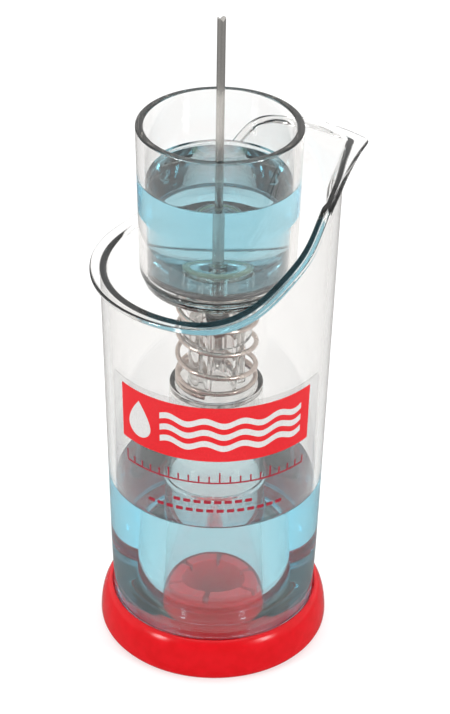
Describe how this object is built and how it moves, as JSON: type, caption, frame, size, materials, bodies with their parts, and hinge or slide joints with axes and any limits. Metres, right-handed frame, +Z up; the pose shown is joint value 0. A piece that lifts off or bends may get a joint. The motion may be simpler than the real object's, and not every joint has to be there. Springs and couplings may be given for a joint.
{
  "type": "fuel sampler cup",
  "caption": "Clear fuel sampler cup with a centre probe rod, carried on a coil spring inside a clear catch can with a pour spout and a red foot; pressing the cup down empties it.",
  "frame": {"origin": "on the table, on the axis of can, column, cup and rod, at the mouth of the foot's bore", "axes": "+Z up along the rod, +X towards the pour spout; the can is symmetric about the XZ plane"},
  "size_m": [0.1105, 0.0992, 0.2712],
  "materials": {
    "clear_plastic": "clear polished polycarbonate",
    "red_plastic": "glossy moulded",
    "label": "printed clear film",
    "black_rubber": "smooth seal rubber",
    "amber_rubber": "smooth seal rubber",
    "spring_steel": "drawn stainless wire",
    "rod_steel": "polished stainless"
  },
  "bodies": {
    "can": {"catch_can": "clear_plastic", "foot": "red_plastic", "label_film": "label", "stopper": "clear_plastic", "stopper_seal": "amber_rubber", "probe_rod": "rod_steel", "rod_collar": "rod_steel", "rod_gasket": "black_rubber", "rod_washer": "rod_steel", "rod_nut": "rod_steel", "spring": "spring_steel"},
    "cup": {"cup_tube": "clear_plastic", "cup_floor": "clear_plastic", "floor_seal": "black_rubber", "neck": "clear_plastic"}
  },
  "joints": [
    {"name": "cup_press", "type": "slide", "parent": "can", "child": "cup", "axis": [0, 0, -1], "range_m": [0, 0.01], "stiffness_N_per_m": 1300, "springref_m": -0.01, "deforming": ["spring"]}
  ]
}
